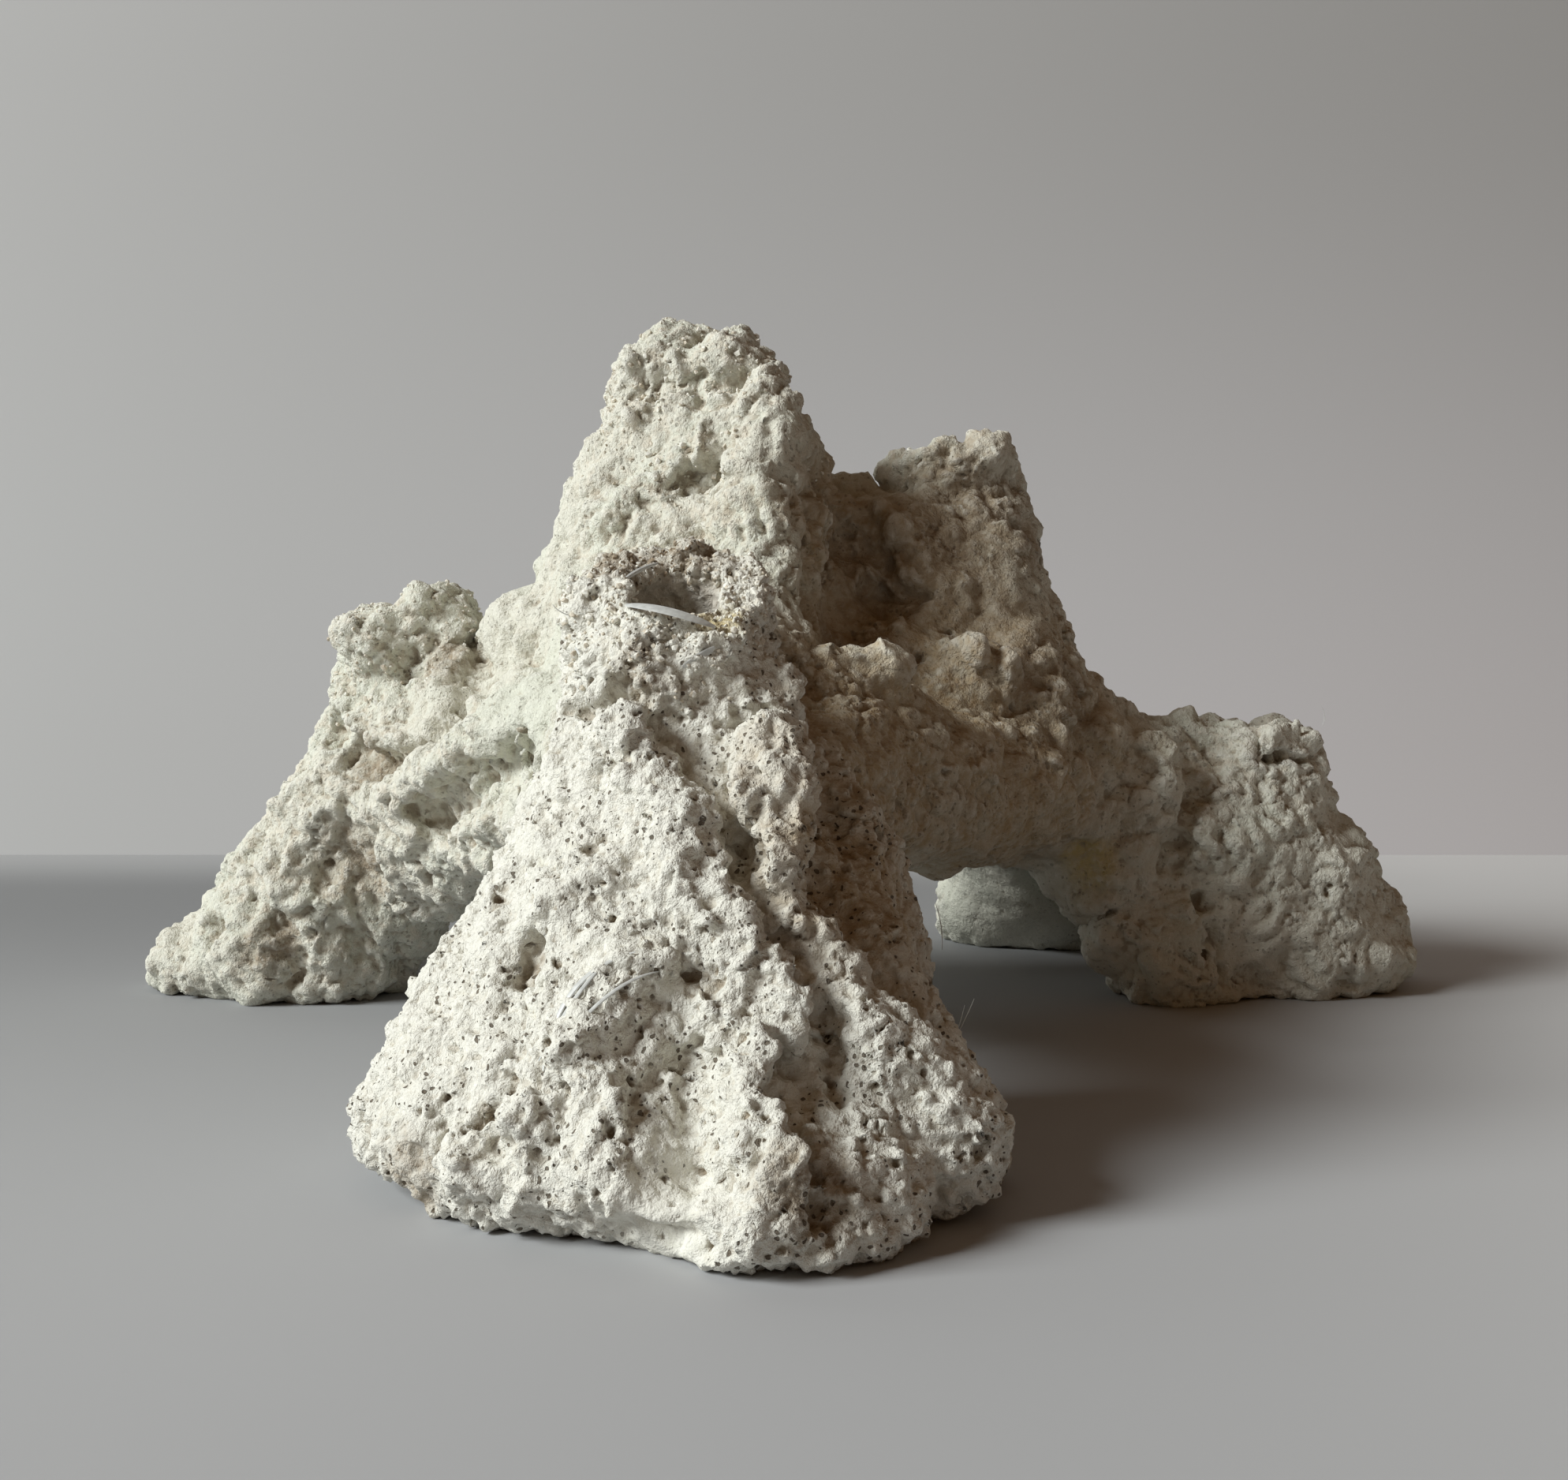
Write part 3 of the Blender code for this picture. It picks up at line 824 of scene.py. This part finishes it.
def tube_faces():
    """Faces of a closed tube of FIBRE_RINGS rings."""
    faces = []
    for ring in range(FIBRE_RINGS - 1):
        for k in range(ROUND_SIDES):
            a = ring * ROUND_SIDES + k
            b = ring * ROUND_SIDES + (k + 1) % ROUND_SIDES
            faces += [(a, b, b + ROUND_SIDES), (a, b + ROUND_SIDES, a + ROUND_SIDES)]
    last = (FIBRE_RINGS - 1) * ROUND_SIDES
    for k in range(1, ROUND_SIDES - 1):
        faces += [(0, k + 1, k), (last, last + k, last + k + 1)]
    return np.array(faces)


def on_surface(point, pieces, lift):
    """The place on the rock nearest to a point, lifted off it, and the way out of the rock there."""
    best = None
    for piece in pieces:
        hit, place, normal, _ = piece.closest_point_on_mesh(Vector(point) * MM)
        gap = (place - Vector(point) * MM).length
        if hit and (best is None or gap < best[0]):
            best = gap, np.array(place) / MM, np.array(normal)
    return best[1] + best[2] * lift, best[2]


def fibre_pieces():
    """Clear plastic fibres that lie in the cement's surface, and hairs that stand off it."""
    surface = [bpy.data.objects[name] for name in REGIONS]
    finish = fibre_finish(bpy.context.scene.dry_rock_colours)
    laid = []
    for points, half_width, half_thickness, lift in FIBRES:
        lifts = [END_LIFT] + [lift] * (len(points) - 2) + [END_LIFT]
        placed = [on_surface(point, surface, rise) for point, rise in zip(points, lifts)]
        across = sum(normal for _, normal in placed)
        laid.append(tapered_tube([place for place, _ in placed], half_width, half_thickness, across))
    hairs = [tapered_tube(line, half, half, (0, -1, 0.2)) for *line, half in HAIRS]
    return [
        mesh_piece("cement_fibres", np.array(laid), tube_faces(), finish),
        mesh_piece("loose_hairs", np.array(hairs), tube_faces(), finish),
    ]


def rgba(colour):
    return (*colour, 1)


class Signal:
    """A value or colour that varies over a surface: one socket of a material's nodes."""

    def __init__(self, recipe, socket):
        self.recipe = recipe
        self.socket = socket

    def _math(self, operation, *values):
        return self.recipe.node("ShaderNodeMath", {"operation": operation}, dict(enumerate(values)))

    def __add__(self, other):
        return self._math("ADD", self, other)

    __radd__ = __add__

    def __sub__(self, other):
        return self._math("SUBTRACT", self, other)

    def __rsub__(self, other):
        return self._math("SUBTRACT", other, self)

    def __mul__(self, other):
        return self._math("MULTIPLY", self, other)

    __rmul__ = __mul__

    def above(self, low, high):
        """0 where the value is under low, 1 over high, with a smooth rise between."""
        sockets = {"Value": self, "From Min": low, "From Max": high}
        return self.recipe.node("ShaderNodeMapRange", {"interpolation_type": "SMOOTHSTEP"}, sockets)

    def below(self, low, high):
        """1 where the value is under low, 0 over high, with a smooth fall between."""
        return 1 - self.above(low, high)


class Recipe:
    """A material while its nodes are being put together."""

    def __init__(self, name):
        self.material = bpy.data.materials.new(name)
        self.material.use_nodes = True
        self.nodes = self.material.node_tree.nodes
        self.links = self.material.node_tree.links
        self.shader = self.nodes["Principled BSDF"]
        place = self.nodes.new("ShaderNodeTexCoord")
        self.place = Signal(self, place.outputs["Object"])

    def set(self, socket, value):
        if isinstance(value, Signal):
            self.links.new(value.socket, socket)
        else:
            socket.default_value = value

    def node(self, kind, settings=None, sockets=None, output=0):
        made = self.nodes.new(kind)
        for name, value in (settings or {}).items():
            setattr(made, name, value)
        for name, value in (sockets or {}).items():
            self.set(made.inputs[name], value)
        return Signal(self, made.outputs[output])

    def noise(self, width, detail=2.0, roughness=0.5, place=None, output=0):
        """Cloudy pattern whose clouds are `width` metres wide."""
        sockets = {"Vector": place or self.place, "Scale": 1 / width}
        sockets.update({"Detail": detail, "Roughness": roughness})
        return self.node("ShaderNodeTexNoise", {}, sockets, output)

    def cells(self, width, place=None, output="Distance"):
        """Pattern of cells `width` metres wide: the distance from their middles, or a colour for each."""
        sockets = {"Vector": place or self.place, "Scale": 1 / width}
        return self.node("ShaderNodeTexVoronoi", {}, sockets, output)

    def kept(self, name):
        """A value kept for each vertex."""
        return self.node("ShaderNodeAttribute", {"attribute_name": name}, output="Fac")

    def vector(self, operation, first, second, output=0):
        """Vector maths; SCALE takes a number as its second value, and DISTANCE gives one as output 1."""
        slot = 3 if operation == "SCALE" else 1
        return self.node("ShaderNodeVectorMath", {"operation": operation}, {0: first, slot: second}, output)

    def first_channel(self, colour):
        """The red part of a colour, as a value."""
        return self.node("ShaderNodeSeparateColor", {}, {0: colour})

    def clamp(self, value):
        return self.node("ShaderNodeClamp", {}, {0: value})

    def mix(self, share, first, second):
        """A share of the second colour over the first: inputs 6 and 7 and output 2 of the node."""
        first, second = (tone if isinstance(tone, Signal) else rgba(tone) for tone in (first, second))
        return self.node("ShaderNodeMix", {"data_type": "RGBA"}, {0: share, 6: first, 7: second}, 2)

    def coat(self, sockets):
        """Gives the surface its values and returns the finished material."""
        for name, value in sockets.items():
            self.set(self.shader.inputs[name], value)
        return self.material


def cement_finish(colours):
    """Chalky cream cement: sandy crust and brown stains, with painted shade in the hollows, pinholes and
    bores and on the shaded side, and a painted highlight on raised points.
    """
    recipe = Recipe("aragonite_cement")
    slick, rough, chalk, bore, shaded_brown, stain_and_shade, yellow = (recipe.kept(name) for name in SKIN_LAYERS[1:])
    hollow, dent, wide_dent = (recipe.kept(name) for name in ("hollow", "dent", "wide_dent"))
    bend = recipe.vector("SUBTRACT", recipe.noise(0.0008, detail=1, output=1), (0.5, 0.5, 0.5))
    bent = recipe.vector("ADD", recipe.place, recipe.vector("SCALE", bend, 0.0006))
    cloud = recipe.noise(0.017, detail=3, roughness=0.6)
    fleck = recipe.noise(0.0019, detail=4, roughness=0.65)
    grit = recipe.noise(0.0005, detail=3, roughness=0.65, place=bent)
    # pinholes finer than the mesh, painted dark as shade
    pore_width = 0.00075
    away = recipe.cells(pore_width, bent)
    number = recipe.first_channel(recipe.cells(pore_width, bent, "Color"))
    swarm = recipe.noise(0.0055).above(0.38, 0.56)
    hole = (number * 0.33 * swarm + 0.045 - away).above(0, 0.06) * (chalk * 0.6 + 0.4) * (1 - slick * 0.5)
    hole = hole * (1 - bore)
    # colours, from the body of the cement to its stains and painted shade
    base = recipe.mix(cloud.above(0.4, 0.62), colours.cement, colours.cement_shade)
    base = recipe.mix(rough * fleck.above(0.45, 0.66) * 0.75, base, colours.crust)
    base = recipe.mix(chalk * (1 - fleck.above(0.52, 0.7) * 0.6) * 0.85, base, colours.chalk)
    # painted shade: brown over the shaded web, valley, saddle and flank, with some brown staining
    base = recipe.mix(shaded_brown * (0.55 + fleck.above(0.35, 0.65) * 0.35), base, colours.shaded_brown_tone)
    spotty = 0.3 + grit.above(0.35, 0.6) * 0.3 + fleck.above(0.4, 0.6) * 0.3
    # brown stains, some of them painted shade
    base = recipe.mix(stain_and_shade * spotty, base, colours.stain_and_shade)
    # painted shade: the inside of the bores darker
    base = recipe.mix(bore * 0.85, base, colours.bore)
    base = recipe.mix(yellow * (0.45 + 0.35 * fleck.above(0.4, 0.6)), base, colours.yellow)
    # painted shade: darker in dents, wide dents, cavities, pits, pinholes and the low spots of the fine
    # bump
    painted_shade = dent.above(0.1, 1.3) * 0.5 + wide_dent.above(0.25, 1.3) * 0.38
    painted_shade = painted_shade * (1 - chalk * 0.25) + hollow * 0.6
    painted_shade = painted_shade + grit.below(0.3, 0.44) * (0.1 + 0.12 * rough)
    base = recipe.mix(recipe.clamp(painted_shade * (1 - slick * 0.4)), base, colours.hollow)
    # painted highlight: raised points, where the dent runs below zero, lighter in the chalk tone
    base = recipe.mix(recipe.clamp(dent * -0.6) * 0.5, base, colours.chalk)
    # painted shade inside the pinholes
    base = recipe.mix(hole * 0.85, base, colours.pinhole)
    # relief in metres
    relief = grit * 0.0004 * (1 - slick * 0.6) + fleck * 0.0006 - hole * 0.0004
    bump = recipe.node("ShaderNodeBump", {}, {"Strength": 1.0, "Distance": 1.0, "Height": relief})
    return recipe.coat({"Base Color": base, "Roughness": 0.95, "Specular IOR Level": 0.15, "Normal": bump})


def grain_finish(colours):
    """Sand grains: cream, grey-brown and amber ones among each other."""
    recipe = Recipe("crust_sand")
    tint = recipe.first_channel(recipe.cells(0.0007, output="Color"))
    speck = recipe.noise(0.0004, roughness=0.6)
    base = recipe.mix(tint.above(0.35, 0.75), colours.chalk, colours.crust)
    base = recipe.mix(tint.above(0.86, 0.93) * 0.55, base, colours.hollow)
    base = recipe.mix(speck.above(0.5, 0.75) * 0.35, base, colours.hollow)
    # painted shade: dark grains close to the far rim of the front socket
    away = recipe.vector("DISTANCE", recipe.place, [part * MM for part in FAR_RIM], output=1)
    base = recipe.mix(away.below(0.003, 0.0075) * tint.above(0.2, 0.5), base, colours.stain_and_shade)
    return recipe.coat({"Base Color": base, "Roughness": 0.8, "Specular IOR Level": 0.25})


def fibre_finish(colours):
    """Clear plastic, a little cloudy."""
    recipe = Recipe("clear_plastic_fibre")
    cloudy = [0.85 * part for part in colours.fibre]
    base = recipe.mix(recipe.noise(0.0006).above(0.35, 0.65), colours.fibre, cloudy)
    return recipe.coat({"Base Color": base, "Roughness": 0.35, "Alpha": 0.76})


def paper_finish(name, start, layers):
    """Pale paper; each layer, (axis, from, to, colour, share), brings a colour in along an axis."""
    recipe = Recipe(name)
    base = start
    for axis, low, high, tone, share in layers:
        along = recipe.node("ShaderNodeSeparateXYZ", {}, {0: recipe.place}, axis)
        base = recipe.mix(along.above(low, high) * share, base, tone)
    base = recipe.mix(recipe.noise(0.0008) * 0.05, base, (0.4, 0.4, 0.4))
    return recipe.coat({"Base Color": base, "Roughness": 0.9})


def colour(name, text, value):
    return bpy.props.FloatVectorProperty(
        name=name, description=text, default=value, subtype="COLOR", size=3, min=0, max=1
    )


def share_of_usual(name, text, low, high):
    text += ", as a share of the usual one"
    return bpy.props.FloatProperty(
        name=name, description=text, default=1.0, min=low, max=high, subtype="FACTOR"
    )


class DryRockShape(bpy.types.PropertyGroup):
    """Sizes of the rock's surface."""

    surface_step: share_of_usual("Surface step", "Edge length of the fine surface mesh", 0.5, 5)
    smoothing: bpy.props.IntProperty(
        name="Smoothing",
        description="How often the facets of the packed solid are smoothed",
        default=12,
        min=0,
        max=60,
    )
    sand: share_of_usual("Sand", "Number of loose sand grains", 0.01, 2)
    popcorn_height: share_of_usual("Popcorn height", "Height of the crust's rounded bumps", 0, 3)


class DryRockColours(bpy.types.PropertyGroup):
    """Colours of the rock."""

    cement: colour("Cement", "Main cream of the cement", (0.71, 0.695, 0.60))
    cement_shade: colour("Cement shade", "Second tone of the cement", (0.685, 0.69, 0.59))
    crust: colour("Crust", "Sandy crust", (0.68, 0.62, 0.51))
    # painted shade in the hollows and dents; the sand also takes it as the tone of its darker grains
    hollow: colour("Hollow", "Dust in the hollows", (0.37, 0.31, 0.23))
    # painted shade inside the pinholes
    pinhole: colour("Pinhole", "Inside of the pinholes", (0.10, 0.07, 0.04))
    # also laid on raised points as a painted highlight
    chalk: colour("Chalk", "Chalky bloom on what stands out", (0.805, 0.79, 0.715))
    # painted shade over the shaded side, with some brown staining
    shaded_brown_tone: colour("Browned cement", "Cement that is browned all over", (0.42, 0.30, 0.165))
    # brown stains, also used as painted shade
    stain_and_shade: colour("Stain", "Brown stains", (0.33, 0.26, 0.18))
    # painted shade: the inside of the plug sockets darker
    bore: colour("Bore", "Inside of the plug sockets", (0.50, 0.455, 0.39))
    yellow: colour("Yellow blot", "Yellow blots", (0.60, 0.48, 0.22))
    fibre: colour("Fibre", "Clear plastic of the fibres", (0.76, 0.775, 0.75))


class DryRockStudio(bpy.types.PropertyGroup):
    """The studio round the rock."""

    key_power: bpy.props.FloatProperty(
        name="Window light",
        description="Power of the large soft light at the left",
        default=67,
        min=0,
        unit="POWER",
    )
    floor_colour: colour("Floor", "Pale paper of the floor near the camera", (0.44, 0.445, 0.455))
    # painted shade on the floor behind the rock, lifted again at its far edge
    floor_far_painted_shade: colour("Far floor", "Pale paper of the floor behind the rock", (0.23, 0.235, 0.24))
    floor_edge_colour: colour("Floor edge", "Pale paper at the far end of the floor", (0.40, 0.405, 0.41))
    # painted light on the floor to the right
    floor_right_painted_light: colour("Right floor", "Pale paper to the right of the rock", (0.78, 0.77, 0.765))
    # painted shade towards the top of the card
    backdrop_top_painted_shade: colour("Backdrop", "Card behind the rock, at its top", (0.455, 0.455, 0.452))
    backdrop_low_colour: colour("Low backdrop", "Card behind the rock, at its foot", (0.635, 0.655, 0.665))
    # painted light towards the right of the card
    backdrop_right_painted_light: colour("Right backdrop", "Card behind the rock, right", (0.90, 0.905, 0.95))
    room_colour: colour("Room", "Dim light of the room", (1.0, 0.54, 0.24))
    room_light: bpy.props.FloatProperty(
        name="Room light", description="Strength of the room's light", default=0.09, min=0
    )


class DRYROCK_OT_cast(bpy.types.Operator):
    """Build the cast surface of the rock"""

    bl_idname = "dry_rock.cast"
    bl_label = "Cast surface"

    def execute(self, context):
        for piece in cast_pieces(context.scene.dry_rock_shape):
            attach(piece, BODY)
            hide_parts(ROCK_NODE)
        return {"FINISHED"}


class DRYROCK_OT_sand(bpy.types.Operator):
    """Scatter loose sand grains over the crusts"""

    bl_idname = "dry_rock.sand"
    bl_label = "Sand grains"

    def execute(self, context):
        for piece in sand_pieces(context.scene.dry_rock_shape):
            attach(piece, BODY)
        return {"FINISHED"}


class DRYROCK_OT_fibres(bpy.types.Operator):
    """Lay the clear fibres in the cement"""

    bl_idname = "dry_rock.fibres"
    bl_label = "Fibres"

    def execute(self, context):
        for piece in fibre_pieces():
            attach(piece, BODY)
        return {"FINISHED"}


def soft_light(name, size, power, tint, azimuth, elevation, distance):
    """A rectangular light on the rock; its azimuth goes from the camera's side to the left, in degrees."""
    lamp = bpy.data.lights.new(name, "AREA")
    lamp.shape = "RECTANGLE"
    lamp.size, lamp.size_y = size
    lamp.energy = power
    lamp.color = tint
    made = bpy.data.objects.new(name, lamp)
    a, e = math.radians(azimuth), math.radians(elevation)
    way = Vector((-math.sin(a) * math.cos(e), -math.cos(a) * math.cos(e), math.sin(e)))
    made.location = way * distance
    made.rotation_euler = (Vector(ROCK_MIDDLE) - made.location).to_track_quat("-Z", "Y").to_euler()
    bpy.context.scene.collection.objects.link(made)


def sheet(name, low, high, finish):
    """A flat sheet from its near or lower left corner to the opposite one."""
    corners = [low, (high[0], low[1], low[2]), high, (low[0], high[1], high[2])]
    mesh = bpy.data.meshes.new(name)
    mesh.from_pydata(corners, [], [(0, 1, 2, 3)])
    mesh.materials.append(finish)
    made = bpy.data.objects.new(name, mesh)
    bpy.context.scene.collection.objects.link(made)


class DRYROCK_OT_stage(bpy.types.Operator):
    """Build the floor, backdrop, light, room and camera"""

    bl_idname = "dry_rock.stage"
    bl_label = "Studio"

    def execute(self, context):
        studio = context.scene.dry_rock_studio
        scene = context.scene
        scene.view_settings.view_transform = "Standard"
        # the floor's paper darkens behind the rock as painted shade, lifts again at its far edge, and
        # lightens to the right as painted light
        layers = [
            (1, -0.12, 0.13, studio.floor_far_painted_shade, 1),
            (1, 0.14, FLOOR_END, studio.floor_edge_colour, 1),
            (0, 0.0, 0.17, studio.floor_right_painted_light, 0.7),
        ]
        floor = paper_finish("floor_paper", studio.floor_colour, layers)
        # the card lightens to the right as painted light and darkens towards its top as painted shade
        layers = [
            (0, -0.45, 0.45, studio.backdrop_right_painted_light, 1),
            (2, -0.15, 0.42, studio.backdrop_top_painted_shade, 1),
        ]
        card = paper_finish("backdrop_card", studio.backdrop_low_colour, layers)
        sheet("floor", *FLOOR, floor)
        sheet("backdrop", *BACKDROP, card)
        soft_light("window", WINDOW_SIZE, studio.key_power, WINDOW_TINT, *WINDOW_PLACE)
        world = bpy.data.worlds.new("room")
        world.use_nodes = True
        sky = world.node_tree.nodes["Background"]
        sky.inputs["Color"].default_value = rgba(studio.room_colour)
        sky.inputs["Strength"].default_value = studio.room_light
        scene.world = world
        lens = bpy.data.cameras.new("camera")
        lens.sensor_width = SENSOR
        lens.lens = LENS
        lens.clip_start = NEAREST_SEEN
        camera = bpy.data.objects.new("camera", lens)
        camera.location = CAMERA_PLACE
        camera.rotation_euler = (math.radians(CAMERA_TILT), 0, 0)
        scene.collection.objects.link(camera)
        scene.camera = camera
        return {"FINISHED"}


class DRYROCK_PT_panel(bpy.types.Panel):
    """Lists the rock's settings and builders"""

    bl_idname = "DRYROCK_PT_panel"
    bl_label = "Aragonite dry rock"
    bl_space_type = "VIEW_3D"
    bl_region_type = "UI"
    bl_category = "Dry rock"

    def draw(self, context):
        for where in GROUPS:
            group = getattr(context.scene, where)
            box = self.layout.box()
            for name in group.__annotations__:
                box.prop(group, name)
        for builder in BUILDERS:
            self.layout.operator(builder.bl_idname)


BUILDERS = (DRYROCK_OT_cast, DRYROCK_OT_sand, DRYROCK_OT_fibres, DRYROCK_OT_stage)
GROUPS = {
    "dry_rock_shape": DryRockShape,
    "dry_rock_colours": DryRockColours,
    "dry_rock_studio": DryRockStudio,
}
CLASSES = (*GROUPS.values(), *BUILDERS, DRYROCK_PT_panel)


def register():
    for made in CLASSES:
        bpy.utils.register_class(made)
    for name, group in GROUPS.items():
        setattr(bpy.types.Scene, name, bpy.props.PointerProperty(type=group))


def unregister():
    for name in GROUPS:
        delattr(bpy.types.Scene, name)
    for made in reversed(CLASSES):
        bpy.utils.unregister_class(made)


def main():
    register()
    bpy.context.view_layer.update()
    bpy.ops.dry_rock.cast()
    bpy.ops.dry_rock.sand()
    bpy.ops.dry_rock.fibres()
    bpy.ops.dry_rock.stage()


if __name__ == "__main__":
    main()
